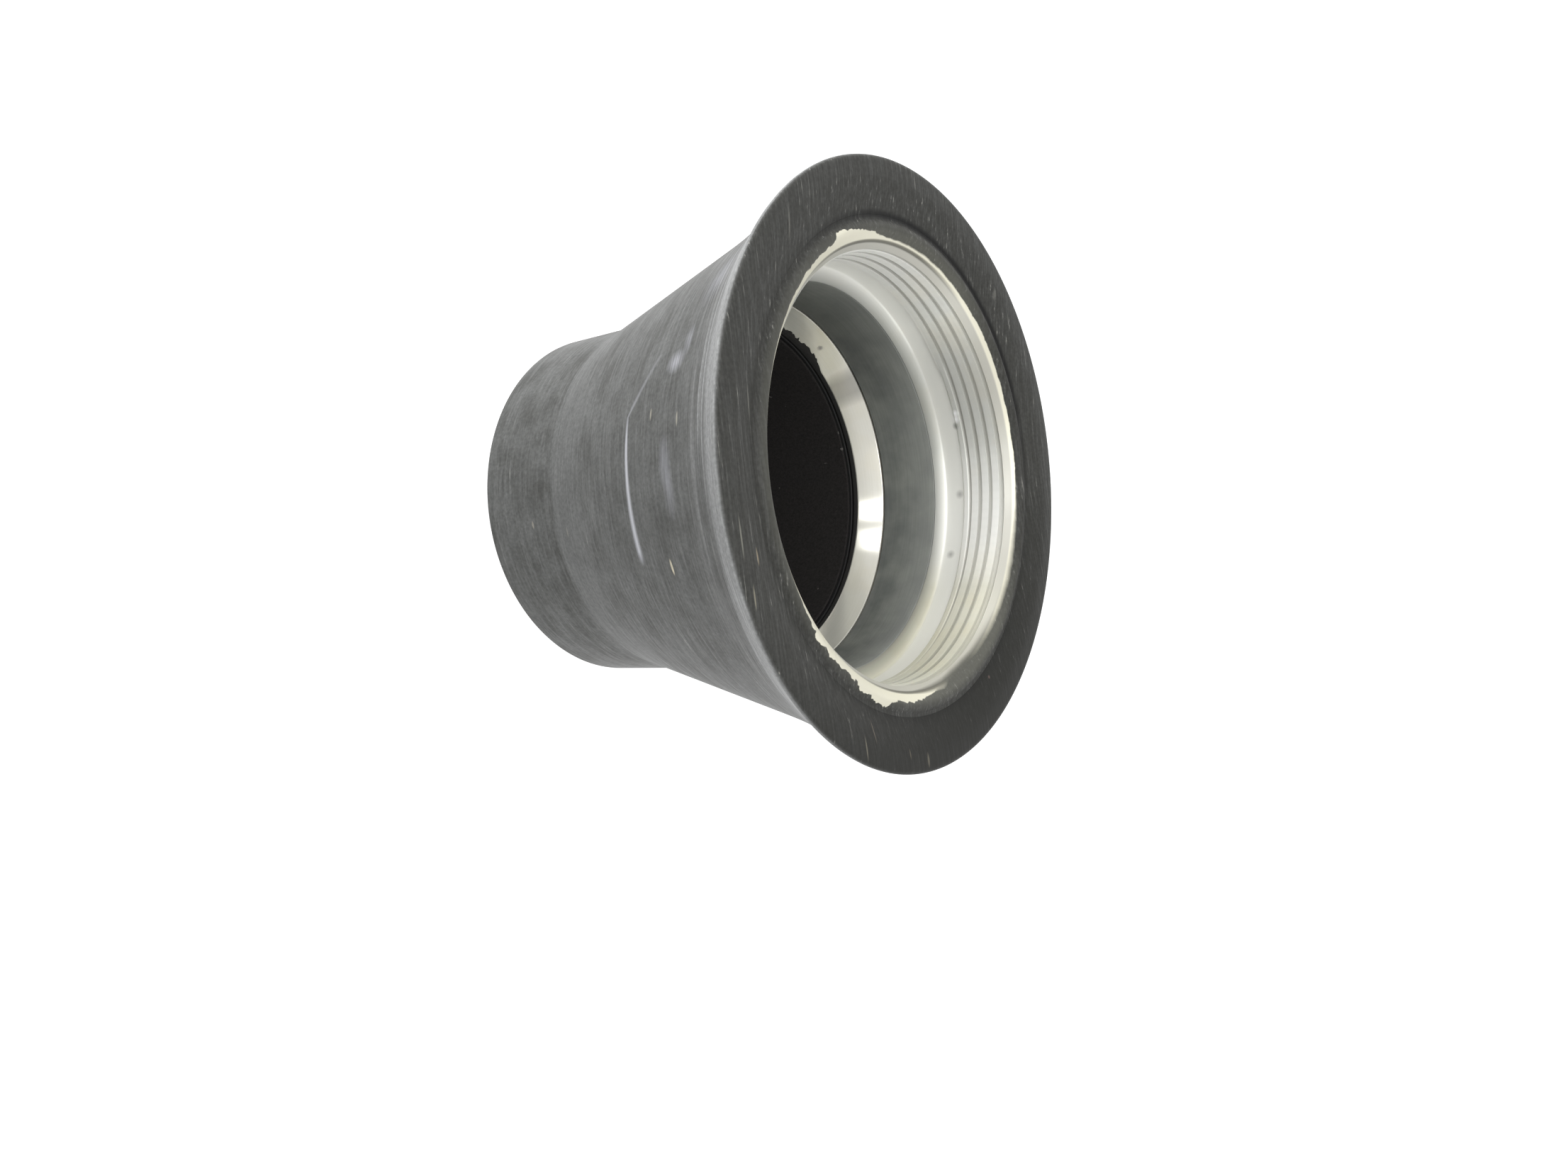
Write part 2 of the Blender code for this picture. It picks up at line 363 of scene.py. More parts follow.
# The bloom is in clouds of about 6 mm, and the enamel's grain is about 0.5 mm.
bloom = add_node(tree, "TexNoise", {
    "Vector": spot["Millimetres"], "Scale": 1 / 6.0, "Detail": 5.0, "Roughness": 0.65})
grain = add_node(tree, "TexNoise", {"Vector": spot["Millimetres"], "Scale": 1 / 0.5, "Detail": 2.0})
bloom_amount = add_node(tree, "MapRange", {
    "Value": bloom, "From Min": 0.35, "From Max": 0.65, "To Min": 0.35})
# The outside is rubbed all over. Just above the nozzle's bend it is painted lighter and just below it
# darker, as painted light and shade.
bend_reach = 12.0
cone_here = add_node(tree, "Math", {
    0: spot["Height"], 1: cone_slope, 2: cone_radius(0.0)}, operation="MULTIPLY_ADD")
outer_wall = add_node(tree, "Math", {0: cone_here, 1: nozzle_radius}, operation="MAXIMUM")
depth = add_node(tree, "Math", {0: spot["Radius"], 1: outer_wall}, operation="SUBTRACT")
outside = add_node(tree, "MapRange", {"Value": depth, "From Min": -0.5, "From Max": -0.3})
above_bend = add_node(tree, "MapRange", {
    "Value": spot["Height"], "From Min": nozzle_length - 0.2, "From Max": nozzle_length + 0.8,
    "To Min": -0.25})
from_bend = add_node(tree, "Math", {0: spot["Height"], 1: nozzle_length}, operation="SUBTRACT")
from_bend = add_node(tree, "Math", {0: from_bend}, operation="ABSOLUTE")
near_bend = add_node(tree, "MapRange", {
    "Value": from_bend, "From Max": bend_reach, "To Min": 0.6, "To Max": 0.0},
    interpolation_type="SMOOTHSTEP")
bend_light_and_shade = limited(tree, above_bend, near_bend)
rub_and_bend_light = add_node(tree, "Math", {0: bloom_amount, 1: bend_light_and_shade}, operation="ADD")
off_face = add_node(tree, "MapRange", {"Value": on_face, "To Min": 1.0, "To Max": 0.1})
rub_and_bend_light_shown = limited(tree, rub_and_bend_light, off_face, outside)
streak_most = add_node(tree, "MapRange", {"Value": on_face, "To Min": 0.5, "To Max": 0.28})
streak_amount = add_node(tree, "MapRange", {
    "Value": streaks, "From Min": 0.45, "From Max": 0.72, "To Max": streak_most})
score_least = add_node(tree, "MapRange", {"Value": on_face, "To Min": 0.7, "To Max": 0.64})
score_most = add_node(tree, "Math", {0: score_least, 1: 0.07}, operation="ADD")
score_amount = add_node(tree, "MapRange", {
    "Value": streaks, "From Min": score_least, "From Max": score_most, "To Max": 0.55})
# The flare is palest in a streaky band about 3 mm wide right behind the rim: rubbed enamel with a painted
# highlight on it.
band_start = 57.6
band_full = 60.2
band_most = add_node(tree, "MapRange", {
    "Value": rubbed, "From Min": 0.35, "From Max": 0.6, "To Min": 0.6, "To Max": 0.95})
behind_rim = add_node(tree, "MapRange", {
    "Value": spot["Height"], "From Min": band_start, "From Max": band_full, "To Max": band_most},
    interpolation_type="SMOOTHSTEP")
off_mouth = add_node(tree, "MapRange", {
    "Value": facing_up, "From Max": 0.95, "To Min": 1.0, "To Max": 0.0})
worn_and_lit_band = limited(tree, behind_rim, off_mouth, outside)
# Thinner worn lines, about 1 mm wide, run round the flare below that band.
lines_start = 53.0
lines_full = 57.5
flare_noise = drawn_out(tree, spot["Lines"], (1.2, 1.2, 0.7), 2.0)
flare_most = add_node(tree, "MapRange", {
    "Value": spot["Height"], "From Min": lines_start, "From Max": lines_full, "To Max": 0.7})
flare_lines = add_node(tree, "MapRange", {
    "Value": flare_noise, "From Min": 0.48, "From Max": 0.62, "To Max": flare_most})
worn_lines = limited(tree, flare_lines, off_mouth, outside)
# The palest enamel here holds the painted highlight behind the rim as well as the worn lines.
worn = add_node(tree, "Math", {0: worn_lines, 1: worn_and_lit_band}, operation="MAXIMUM")
# The seam between lip and horn is painted dark round 145 degrees, in a soft band about 2 mm wide, as
# painted shade.
seam_gap = add_node(tree, "Math", {0: spot["Radius"], 1: flange_bore}, operation="SUBTRACT")
seam_gap = add_node(tree, "Math", {0: seam_gap}, operation="ABSOLUTE")
seam_shade = add_node(tree, "MapRange", {
    "Value": seam_gap, "From Min": 0.1, "From Max": 1.0, "To Min": 0.95, "To Max": 0.0},
    interpolation_type="SMOOTHSTEP")
at_mouth = add_node(tree, "MapRange", {
    "Value": spot["Height"], "From Min": flange_seat, "From Max": flange_seat + 1.0})
seam_shade_side = limited(tree, towards(tree, spot, 145.0, 0.3, 0.85), at_mouth)
seam_shade_amount = limited(tree, seam_shade, seam_shade_side)
enamel_colour = layered(tree, linear("#333330"), [
    (rub_and_bend_light_shown, "#575857"), (streak_amount, "#696a69"), (score_amount, "#a9a79f"), (worn, "#8e8f8f"),
    (seam_shade_amount, "#0a0a09")])
grain_amount = add_node(tree, "MapRange", {
    "Value": grain, "From Min": 0.3, "From Max": 0.7, "To Min": 0.8, "To Max": 1.18})
grained = add_node(tree, "VectorMath", {0: enamel_colour, "Scale": grain_amount}, operation="SCALE")
streak_strength = add_node(tree, "MapRange", {
    "Value": streaks, "From Min": 0.35, "From Max": 0.6, "To Min": 0.3})
enamel_rough = add_node(tree, "MapRange", {
    "Value": streaks, "From Min": 0.3, "From Max": 0.7, "To Min": 0.52, "To Max": 0.38})
enamel_relief = add_node(tree, "Math", {0: streaks, 1: grain}, operation="ADD")
add_node(tree, "NodeGroupOutput", {
    "Colour": grained, "Roughness": enamel_rough, "Relief": enamel_relief, "Streaks": streak_strength}, None)

# The horn's own marks: one long score round the cone, rubbed patches, and flecks where it was knocked.
horn_enamel, tree, shader, spot = new_finish("worn_black_enamel")
look = add_node(tree, "Group", out=None, node_tree=enamel_tree)
# The score follows a height of 38 mm and widens as it goes. Its faint upper end turns up the cone.
score_level = 38.2
score_bend = -109.0
score_climb = 0.5
score_tip = -121.0
past_bend = add_node(tree, "Math", {0: score_bend, 1: spot["Degrees"]}, operation="SUBTRACT")
past_bend = add_node(tree, "Math", {0: past_bend, 1: 0.0}, operation="MAXIMUM")
score_height = add_node(
    tree, "Math", {0: past_bend, 1: score_climb, 2: score_level}, operation="MULTIPLY_ADD")
score_gap = add_node(tree, "Math", {0: spot["Height"], 1: score_height}, operation="SUBTRACT")
score_gap = add_node(tree, "Math", {0: score_gap}, operation="ABSOLUTE")
score_half = add_node(tree, "MapRange", {
    "Value": spot["Degrees"], "From Min": -105.0, "From Max": -80.0, "To Min": 0.38, "To Max": 0.8})
tail_half = add_node(tree, "MapRange", {"Value": past_bend, "From Max": 2.0, "To Max": 0.65})
score_half = add_node(tree, "Math", {0: score_half, 1: tail_half}, operation="MAXIMUM")
score_line = add_node(tree, "MapRange", {
    "Value": score_gap, "From Min": 0.05, "From Max": score_half, "To Min": 0.95, "To Max": 0.0})
score_tail = add_node(tree, "MapRange", {
    "Value": past_bend, "From Max": score_bend - score_tip, "To Min": 0.35, "To Max": 0.12})
score_main = add_node(tree, "MapRange", {
    "Value": spot["Degrees"], "From Min": score_bend, "From Max": score_bend + 6.0, "To Max": 0.6})
score_strength = add_node(tree, "Math", {0: score_tail, 1: score_main}, operation="ADD")
score_start = add_node(tree, "Math", {0: spot["Degrees"], 1: score_tip}, operation="GREATER_THAN")
score_end = add_node(tree, "MapRange", {
    "Value": spot["Degrees"], "From Min": -79.0, "From Max": -75.5, "To Min": 1.0, "To Max": 0.0})
layers = [(limited(tree, score_strength, score_start, score_end, score_line), "#b4b5bb")]
# Rubbed patches and flecks outside: degrees, height, half length, half width, amount, core and colour.
for mark_degrees, mark_height, mark_length, mark_width, mark_amount, mark_core, mark_colour in (
        (-117.0, 48.9, 1.9, 2.4, 0.75, 0.2, "#a3a4aa"),
        (-120.5, 51.2, 2.6, 1.2, 0.45, 0.2, "#9b9ca3"),
        (-97.0, 47.8, 4.0, 1.6, 0.5, 0.2, "#9b9ca3"),
        (-91.0, 48.4, 4.0, 1.4, 0.4, 0.2, "#9b9ca3"),
        (-133.0, 54.0, 5.0, 4.0, 0.4, 0.1, "#a2a3aa"),
        (-75.9, 45.3, 1.3, 0.3, 0.9, 0.6, "#cfc6ae"),
        (-104.7, 51.0, 1.2, 0.25, 0.6, 0.5, "#cfc9b8"),
        (-107.6, 44.3, 1.0, 0.25, 0.5, 0.5, "#cfc9b8"),
        (-84.0, 19.0, 0.9, 0.2, 0.5, 0.5, "#b0a99c"),
        (-87.0, 10.5, 0.7, 0.25, 0.5, 0.5, "#b0a99c")):
    arc_scale = math.radians(1.0) * cone_radius(mark_height) / mark_length
    across = add_node(tree, "Math", {
        0: spot["Degrees"], 1: arc_scale, 2: -mark_degrees * arc_scale}, operation="MULTIPLY_ADD")
    upwards = add_node(tree, "Math", {
        0: spot["Height"], 1: 1 / mark_width, 2: -mark_height / mark_width}, operation="MULTIPLY_ADD")
    from_mark = add_node(tree, "CombineXYZ", {"X": across, "Y": upwards})
    from_mark = add_node(tree, "VectorMath", {0: from_mark}, "Value", operation="LENGTH")
    mark = add_node(tree, "MapRange", {
        "Value": from_mark, "From Min": mark_core, "From Max": 1.0, "To Min": mark_amount, "To Max": 0.0})
    layers.append((limited(tree, mark, look["Streaks"]), mark_colour))
# Flecks on the flat rim, drawn out along X like its scores: degrees, radius, half length, half width,
# amount and colour.
face_edge = mouth_height - dish_depth
on_mouth = add_node(tree, "MapRange", {
    "Value": spot["Height"], "From Min": face_edge - 0.4, "From Max": face_edge})
for mark_degrees, mark_radius, mark_length, mark_width, mark_amount, mark_colour in (
        (-8.6, 43.0, 1.3, 0.35, 0.85, "#cfc6b0"),
        (-15.2, 41.9, 0.9, 0.2, 0.6, "#b8ae98"),
        (-28.3, 40.0, 2.0, 0.16, 0.5, "#b5a898"),
        (-30.3, 42.8, 2.0, 0.18, 0.55, "#c4bca6"),
        (-72.2, 43.2, 1.8, 0.2, 0.45, "#a59f8c"),
        (-77.9, 40.1, 1.3, 0.22, 0.6, "#a89a82"),
        (-82.3, 42.6, 3.2, 0.2, 0.45, "#9a998f"),
        (-106.1, 38.1, 2.6, 0.18, 0.4, "#94938a"),
        (-143.3, 41.1, 2.6, 0.25, 0.3, "#8c8b84"),
        (24.3, 38.1, 0.35, 0.35, 0.85, "#c9a9a0"),
        (108.5, 44.8, 0.5, 0.5, 0.7, "#c7c3b4"),
        (131.0, 40.6, 1.2, 0.5, 0.25, "#8c8b84")):
    mark_scale = Vector((1 / mark_length, 1 / mark_width, 0.0))
    mark_place = compass(mark_degrees, mark_radius)
    from_mark = add_node(tree, "VectorMath", {
        0: spot["Millimetres"], 1: mark_scale, 2: -mark_place * mark_scale}, operation="MULTIPLY_ADD")
    from_mark = add_node(tree, "VectorMath", {0: from_mark}, "Value", operation="LENGTH")
    mark = add_node(tree, "MapRange", {
        "Value": from_mark, "From Min": 0.4, "From Max": 1.0, "To Min": mark_amount, "To Max": 0.0})
    layers.append((limited(tree, mark, on_mouth), mark_colour))
# The flat rim is painted darker on the side towards 10 degrees, as painted shade.
layers.append((limited(tree, towards(tree, spot, 10.0, 0.2, 1.0, 0.9), on_mouth), "#1d1d1a"))
bump = add_node(tree, "Bump", {"Height": look["Relief"], "Strength": 0.12, "Distance": 0.05 * MM})
fill(tree, shader, {
    "Base Color": layered(tree, look["Colour"], layers), "Roughness": look["Roughness"], "Normal": bump,
    "Specular IOR Level": 0.16})

horn_first_height = screw_start + 1.0
cut_thread(horn, horn_enamel, {
    "Radius": horn_screw_root * MM, "Height of form": -screw_depth * MM,
    "Width at root": screw_root_width * MM, "Width at crest": screw_crest_width * MM,
    "Pitch": screw_pitch * MM, "Turns": horn_screw_turns, "Start height": horn_first_height * MM,
    "Start angle": 0.0, "Run-out": screw_run_out})
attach(horn, "shell")
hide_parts("bell_shell")

# Liner tube
# A thin aluminium tube, dyed matt black, that carries the lining. It slides into the nozzle from the mouth
# and is held between the nozzle's end lip and the throat ring.
liner_outer = 28.2
liner_inner = 27.5
liner_bottom = 2.3
liner_top = 31.7
liner = turned("liner", eased([
    (liner_inner, liner_bottom, 0.12),
    (liner_outer, liner_bottom, 0.12),
    (liner_outer, liner_top, 0.12),
    (liner_inner, liner_top, 0.12),
]))
# Matt black dye shows the turning lines under it, 0.3 mm apart, as faint dull rings.
liner_dye, tree, shader, spot = new_finish("matt_black_anodised_aluminium")
turned_lines = drawn_out(tree, spot["Lines"], (3, 3, 3.3), 2.0)
bump = add_node(tree, "Bump", {"Height": turned_lines, "Strength": 0.2, "Distance": 0.03 * MM})
dyed = layered(tree, linear("#0f0f0f"), [(turned_lines, "#1a1a1a")])
fill(tree, shader, {"Base Color": dyed, "Normal": bump, "Roughness": 0.6})
liner.data.materials.append(liner_dye)
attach(liner, "shell")
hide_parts("liner_tube")

# Flock lining
# Short black fibres glued inside the liner to swallow stray light. It is the darkest surface of the snoot
# and holds a little pale lint.
flock_outer = 27.2
flock_inner = 26.8
flock_top = 31.4
flock = turned("flock", eased([
    (flock_inner, liner_bottom, 0.12),
    (flock_outer, liner_bottom, 0.05),
    (flock_outer, flock_top, 0.05),
    (flock_inner, flock_top, 0.15),
]))
# Black pile swallows light without a highlight. Tufts of fibre are about 0.4 mm across; lint specks are
# about 0.3 mm and sparse.
flock_pile, tree, shader, spot = new_finish("black_nylon_flock")
tufts = add_node(tree, "TexNoise", {
    "Vector": spot["Millimetres"], "Scale": 1 / 0.4, "Detail": 3.0, "Roughness": 0.7})
lint = add_node(tree, "TexNoise", {"Vector": spot["Millimetres"], "Scale": 1 / 1.1, "Detail": 0.0})
lint_amount = add_node(tree, "MapRange", {
    "Value": lint, "From Min": 0.845, "From Max": 0.87, "To Max": 0.35})
pile = layered(tree, linear("#161515"), [(tufts, "#3a3837"), (lint_amount, "#8a8884")])
bump = add_node(tree, "Bump", {"Height": tufts, "Strength": 0.6, "Distance": 0.2 * MM})
fill(tree, shader, {"Base Color": pile, "Normal": bump, "Roughness": 0.95, "Specular IOR Level": 0.1})
flock.data.materials.append(flock_pile)
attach(flock, "shell")
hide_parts("flock_lining")

# Seat gasket
# A washer cut from black sheet rubber. It lies on the horn's shoulder, under the throat ring, and takes up
# the play of the stack when the collar is tight.
gasket_inner = 28.8
gasket_outer = 31.9
gasket_bottom = 31.0
gasket_top = 31.7
gasket = turned("gasket", eased([
    (gasket_inner, gasket_bottom, 0.08),
    (gasket_outer, gasket_bottom, 0.08),
    (gasket_outer, gasket_top, 0.2),
    (gasket_inner, gasket_top, 0.2),
]))
# Sheet rubber is dull and dusted with talc, in a grain about 0.6 mm across.
gasket_rubber, tree, shader, spot = new_finish("black_sheet_rubber")
dust = add_node(tree, "TexNoise", {"Vector": spot["Millimetres"], "Scale": 1 / 0.6, "Detail": 3.0})
bump = add_node(tree, "Bump", {"Height": dust, "Strength": 0.3, "Distance": 0.05 * MM})
dusted = layered(tree, linear("#1c1b1a"), [(dust, "#3a3936")])
fill(tree, shader, {"Base Color": dusted, "Normal": bump, "Roughness": 0.85})
gasket.data.materials.append(gasket_rubber)
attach(gasket, "shell")
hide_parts("seat_gasket")

# Throat ring
# A bare aluminium ring with a bevel that shows bright round the throat. It was enamelled with its neighbours
# and then faced, which left a ragged black edge on one side.
ring_inner = 27.65
ring_outer = 31.9
ring_bottom = 32.0
ring_top = 36.8
ring_land = 32.95
sleeve_inner = 30.05
ring = turned("ring", eased([
    (ring_inner, ring_bottom, 0.1),
    (ring_outer, ring_bottom, 0.2),
    (ring_outer, ring_top, 0.2),
    (sleeve_inner, ring_top, 0.12),
    (ring_inner, ring_land, 0.15),
]))

# Bare aluminium, turned: a pale warm grey metal whose fine lines round the piece stretch its highlights
# along the axis, dulled here and there by a cream film.
bare_tree = new_group("bare turned aluminium", "ShaderNodeTree", [
    ("Colour", "Color"), ("Roughness", "Float"), ("Relief", "Float")])
tree = bare_tree
spot = add_node(tree, "Group", out=None, node_tree=place_tree)
# Tool marks are 0.15 mm apart, drawn at 0.3 mm so that they show; the film is in patches of about 7 mm.
tool_marks = drawn_out(tree, spot["Lines"], (2.5, 2.5, 3.3), 1.0)
film = add_node(tree, "TexNoise", {"Vector": spot["Millimetres"], "Scale": 1 / 7.0, "Detail": 3.0})
film_amount = add_node(tree, "MapRange", {"Value": film, "From Min": 0.45, "From Max": 0.75, "To Max": 0.7})
metal = layered(tree, linear("#e2e3dd"), [(film_amount, "#dad6c6")])
mark_shade = add_node(tree, "MapRange", {
    "Value": tool_marks, "From Min": 0.3, "From Max": 0.7, "To Min": 0.96, "To Max": 1.02})
marked = add_node(tree, "VectorMath", {0: metal, "Scale": mark_shade}, operation="SCALE")
bare_rough = add_node(tree, "MapRange", {
    "Value": film, "From Min": 0.3, "From Max": 0.7, "To Min": 0.4, "To Max": 0.48})
add_node(tree, "NodeGroupOutput", {"Colour": marked, "Roughness": bare_rough, "Relief": tool_marks}, None)
# Turning lines round the axis stretch a highlight this much, across themselves.
line_stretch = 0.7
line_turn = 0.25


def close_to(tree, place, centre, core, reach, most):
    """Share that is at its most within a core round a point and fades to nothing at a reach."""
    distance = add_node(tree, "VectorMath", {0: place, 1: centre}, "Value", operation="DISTANCE")
    return add_node(tree, "MapRange", {
        "Value": distance, "From Min": core, "From Max": reach, "To Min": most, "To Max": 0.0})


ring_metal, tree, shader, spot = new_finish("bare_faced_aluminium")
look = add_node(tree, "Group", out=None, node_tree=bare_tree)
# Black enamel was left along the lower edge from about 135 to 160 degrees, ragged in steps of about 1 mm.
# One smudge of it lies higher on the bevel.
black_reach = towards(tree, spot, 147.0, 0.965, 0.985, 1.3)
black_steps = add_node(tree, "TexNoise", {"Vector": spot["Millimetres"], "Scale": 1.0, "Detail": 2.0})
black_height = add_node(
    tree, "Math", {0: black_reach, 1: black_steps, 2: ring_land}, operation="MULTIPLY_ADD")
below_black = add_node(tree, "Math", {0: black_height, 1: spot["Height"]}, operation="SUBTRACT")
black_edge = add_node(tree, "MapRange", {"Value": below_black, "From Max": 0.08})
smudge_place = (-22.4, 18.4, 34.85)
smudge = close_to(tree, spot["Millimetres"], smudge_place, 0.2, 0.7, 0.5)
black = add_node(tree, "Math", {0: black_edge, 1: smudge}, operation="MAXIMUM")
# A thin film lies all over the ring, and a darker band is painted across its bevel at 122 degrees, as
# painted shade.
dull = towards(tree, spot, 122.0, 0.992, 0.999, 0.6)
ring_colour = layered(tree, look["Colour"], [(0.4, "#d3cdbe"), (dull, "#7d7b76"), (black, "#1b1a18")])
ring_metallic = add_node(tree, "MapRange", {"Value": black, "To Min": 0.57, "To Max": 0.0})
# The facing cut left a finer finish here than on the collar.
faced_rough = add_node(tree, "Math", {0: look["Roughness"], 1: 0.38}, operation="MULTIPLY")
ring_rough = add_node(tree, "Math", {0: faced_rough, 1: black}, operation="MAXIMUM")
round_axis = add_node(tree, "Tangent", direction_type="RADIAL", axis="Z")
bump = add_node(tree, "Bump", {"Height": look["Relief"], "Strength": 0.02, "Distance": 0.02 * MM})
fill(tree, shader, {
    "Base Color": ring_colour, "Metallic": ring_metallic, "Roughness": ring_rough, "Normal": bump,
    "Tangent": round_axis, "Anisotropic": line_stretch, "Anisotropic Rotation": line_turn})
ring.data.materials.append(ring_metal)
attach(ring, "shell")
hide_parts("throat_ring")

# Spacer sleeve
# A plain aluminium tube, turned and anodised dark grey. It stands on the throat ring, and the collar presses
# it down.
sleeve_outer = 31.9
sleeve_bottom = 37.1
sleeve_top = 47.5
sleeve_paling_start = 40.0
sleeve = turned("sleeve", eased([
    (sleeve_inner, sleeve_bottom, 0.15),
    (sleeve_outer, sleeve_bottom, 0.15),
    (sleeve_outer, sleeve_top, 0.15),
    (sleeve_inner, sleeve_top, 0.12),
]))
# Grey dye with a soft sheen. Its clouds are about 5 mm across; the turning lines under it are 0.3 mm apart.
sleeve_dye, tree, shader, spot = new_finish("dark_grey_anodised_aluminium")
clouds = add_node(tree, "TexNoise", {"Vector": spot["Millimetres"], "Scale": 1 / 5.0, "Detail": 4.0})
turned_lines = drawn_out(tree, spot["Lines"], (3, 3, 3.3), 2.0)
clouded = add_node(tree, "MapRange", {"Value": clouds, "From Min": 0.35, "From Max": 0.65})
lined = add_node(tree, "MapRange", {
    "Value": turned_lines, "From Min": 0.3, "From Max": 0.7, "To Min": 0.92, "To Max": 1.06})
# The sleeve is paler towards its upper edge, and darker towards 165 degrees as painted shade.
paler_upwards = add_node(tree, "MapRange", {
    "Value": spot["Height"], "From Min": sleeve_paling_start, "From Max": sleeve_top, "To Max": 0.4})
painted_shade_side = towards(tree, spot, 165.0, 0.5, 0.95, 0.5)
dyed = layered(tree, linear("#6b6e6b"), [(clouded, "#82857f"), (paler_upwards, "#b3b5b0"), (painted_shade_side, "#4a4d49")])
sleeved = add_node(tree, "VectorMath", {0: dyed, "Scale": lined}, operation="SCALE")
bump = add_node(tree, "Bump", {"Height": turned_lines, "Strength": 0.15, "Distance": 0.03 * MM})
fill(tree, shader, {"Base Color": sleeved, "Normal": bump, "Roughness": 0.5})
sleeve.data.materials.append(sleeve_dye)
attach(sleeve, "shell")
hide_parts("spacer_sleeve")

# Collar O-ring
# A round ring moulded in black nitrile rubber. It sits in the corner under the collar's flange, rises with
# the collar and keeps it from working loose.
o_ring_radius = 34.55
o_ring_half = 0.75
o_ring_height = 58.65
o_ring_steps = 24
o_ring_section = []
for step in range(o_ring_steps):
    angle = 2 * math.pi * step / o_ring_steps
    o_ring_section.append((
        o_ring_radius + o_ring_half * math.cos(angle), o_ring_height + o_ring_half * math.sin(angle)))
o_ring = turned("o_ring", o_ring_section)
# Smooth black rubber, greasy in some places and dusty in others, in smears about 2 mm across.
o_ring_rubber, tree, shader, spot = new_finish("black_nitrile_rubber")
smears = add_node(tree, "TexNoise", {"Vector": spot["Millimetres"], "Scale": 1 / 2.0, "Detail": 3.0})
rubber_rough = add_node(tree, "MapRange", {
    "Value": smears, "From Min": 0.3, "From Max": 0.7, "To Min": 0.35, "To Max": 0.6})
fill(tree, shader, {
    "Base Color": layered(tree, linear("#131313"), [(smears, "#2b2a29")]), "Roughness": rubber_rough})
o_ring.data.materials.append(o_ring_rubber)
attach(o_ring, "collar_seal")
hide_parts("collar_o_ring")

# Lamp collar
# A turned aluminium collar that screws into the horn's mouth. The lamp's nose screws into its bare thread.
# Its rounded lip is enamelled with the horn, and lamps going in and out have chipped the lip's inner edge.
lamp_thread_root = 32.55
lamp_thread_crest = 32.05
lamp_thread_pitch = 2.0
lamp_thread_bottom = 53.45
lamp_thread_top = 59.6
lamp_thread_turns = 3.4
lamp_thread_first = 105.0
lamp_first_height = 52.55
lamp_root_width = 1.55
lamp_crest_width = 1.2
lamp_run_out = 0.015
first_land_bottom = 52.3
relief_radius = 32.45
relief_bottom = 48.5
collar_bottom = 47.6
collar_top = 62.2
collar_foot = 30.12
foot_edge = 47.65
foot_bevel_radius = 30.5
foot_bevel_height = 47.77
foot_bulge_radius = 31.3
foot_bulge_height = 48.02
lip_corner = 60.95
lip_corner_radius = 33.1
collar_neck = 33.4
collar_screw_root = 33.7
collar_screw_bottom = 49.6
collar_screw_top = 57.2
collar_screw_turns = 2.9
flange_radius = 36.69
flange_edge = 61.6
flange_bottom = 59.7
lip_inner = 33.4
collar = turned("collar", eased([
    (collar_foot, collar_bottom, 0.05),
    (collar_neck, collar_bottom, 0.3),
    (collar_neck, collar_screw_bottom, 0.1),
    (collar_screw_root, collar_screw_bottom, 0.1),
    (collar_screw_root, collar_screw_top, 0.1),
    (collar_neck, collar_screw_top, 0.1),
    (collar_neck, flange_bottom, 0.1),
    (flange_radius, flange_bottom, 0.2),
    (flange_radius, flange_edge, 0.02),
    (flange_radius - 0.4, flange_edge - 0.05, 0.25),
    (lip_inner + 1.9, collar_top, 0.6),
    (lip_inner + 1.2, collar_top, 0.6),
    (lip_corner_radius + 0.2, lip_corner + 0.2, 0.3),
    (lip_corner_radius, lip_corner, 0.1),
    (lamp_thread_crest + 0.1, lamp_thread_top + 0.3, 0.1),
    (lamp_thread_root, lamp_thread_top, 0.1),
    (lamp_thread_root, lamp_thread_bottom, 0.05),
    (lamp_thread_crest, lamp_thread_bottom - 0.3, 0.08),
    (lamp_thread_crest, first_land_bottom, 0.08),
    (relief_radius, first_land_bottom - 0.3, 0.1),
    (relief_radius, relief_bottom, 0.35),
    (foot_bulge_radius, foot_bulge_height, 0.3),
    (foot_bevel_radius, foot_bevel_height, 0.4),
    (collar_foot, foot_edge, 0.25),
]))

# Satin metal inside, hazed by oxide and grease, under a black enamelled lip with broken edges.
collar_metal, tree, shader, spot = new_finish("bare_turned_aluminium_with_enamelled_lip")
bare = add_node(tree, "Group", out=None, node_tree=bare_tree)
enamel = add_node(tree, "Group", out=None, node_tree=enamel_tree)
# Width in mm of the chipped band at the lip's inner edge, by degrees round it: broad at two places, a thin
# line on most of the rest, and below nothing from 5 to 70 degrees, where enamel still runs over the edge.
chip_turn = add_node(tree, "MapRange", {"Value": spot["Degrees"], "From Min": -180.0, "From Max": 180.0})
chip_curve = add_node(tree, "FloatCurve", {"Value": chip_turn})
chip_points = chip_curve.node.mapping.curves[0].points
chip_least = -1.5
chip_most = 3.0
chip_behind = 0.2
for chip_degrees, chip_breadth in (
        (-176, 0.5), (-170, 1.1), (-166, 1.2), (-160, 1.8), (-157, 1.2), (-150, 0.9), (-140, 0.8),
        (-120, 0.5), (-100, 0.2), (-80, 0.2), (-68, 0.6), (-60, 1.2), (-52, 1.6), (-46, 1.6), (-40, 1.3),
        (-37, 1.9), (-30, 2.0), (-24.5, 2.3), (-22, 1.3), (-17, 1.1), (-9, 0.8), (-3, 0.4), (5, -0.5),
        (15, -1.2), (25, -0.8), (50, -0.45), (70, -0.2), (80, 0.1), (95, 0.15), (130, 0.2), (150, 0.1),
        (176, 0.1)):
    chip_points.new((chip_degrees + 180) / 360, (chip_breadth - chip_least) / (chip_most - chip_least))
